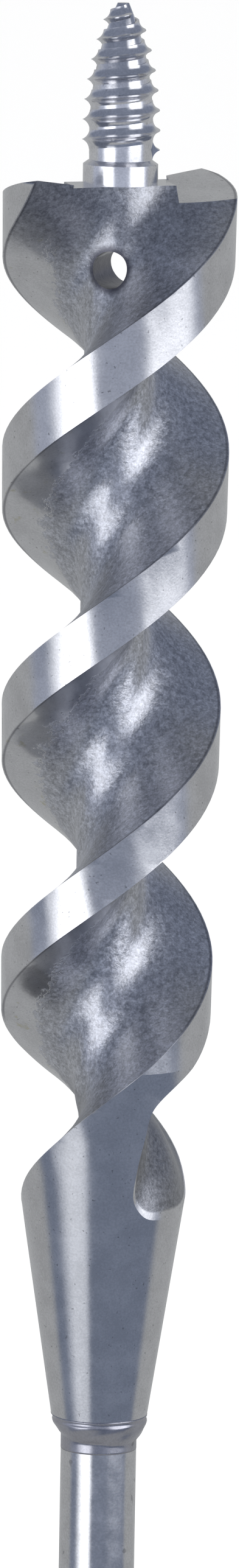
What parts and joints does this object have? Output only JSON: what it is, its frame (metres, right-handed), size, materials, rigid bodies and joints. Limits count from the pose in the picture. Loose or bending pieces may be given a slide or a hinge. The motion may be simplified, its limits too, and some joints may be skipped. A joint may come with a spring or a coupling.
{
  "type": "flexible-shank auger bit",
  "caption": "Twisted two-flute wood auger head with a threaded feed screw, a cross hole for pulling wire and a thin round sprung shank.",
  "frame": {"origin": "centre of the shank's end face", "axes": "+Z along the axis from the shank's end to the tip of the feed screw; +X to the right and +Y away as seen from the front"},
  "size_m": [0.0194, 0.019, 0.4572],
  "materials": {
    "forged_steel": "satin",
    "screw_steel": "satin",
    "braze_metal": "satin",
    "rod_steel": "satin"
  },
  "bodies": {
    "root": {"auger_head": "forged_steel", "feed_screw": "screw_steel", "braze_fillet": "braze_metal", "shank_rod": "rod_steel"}
  },
  "joints": []
}
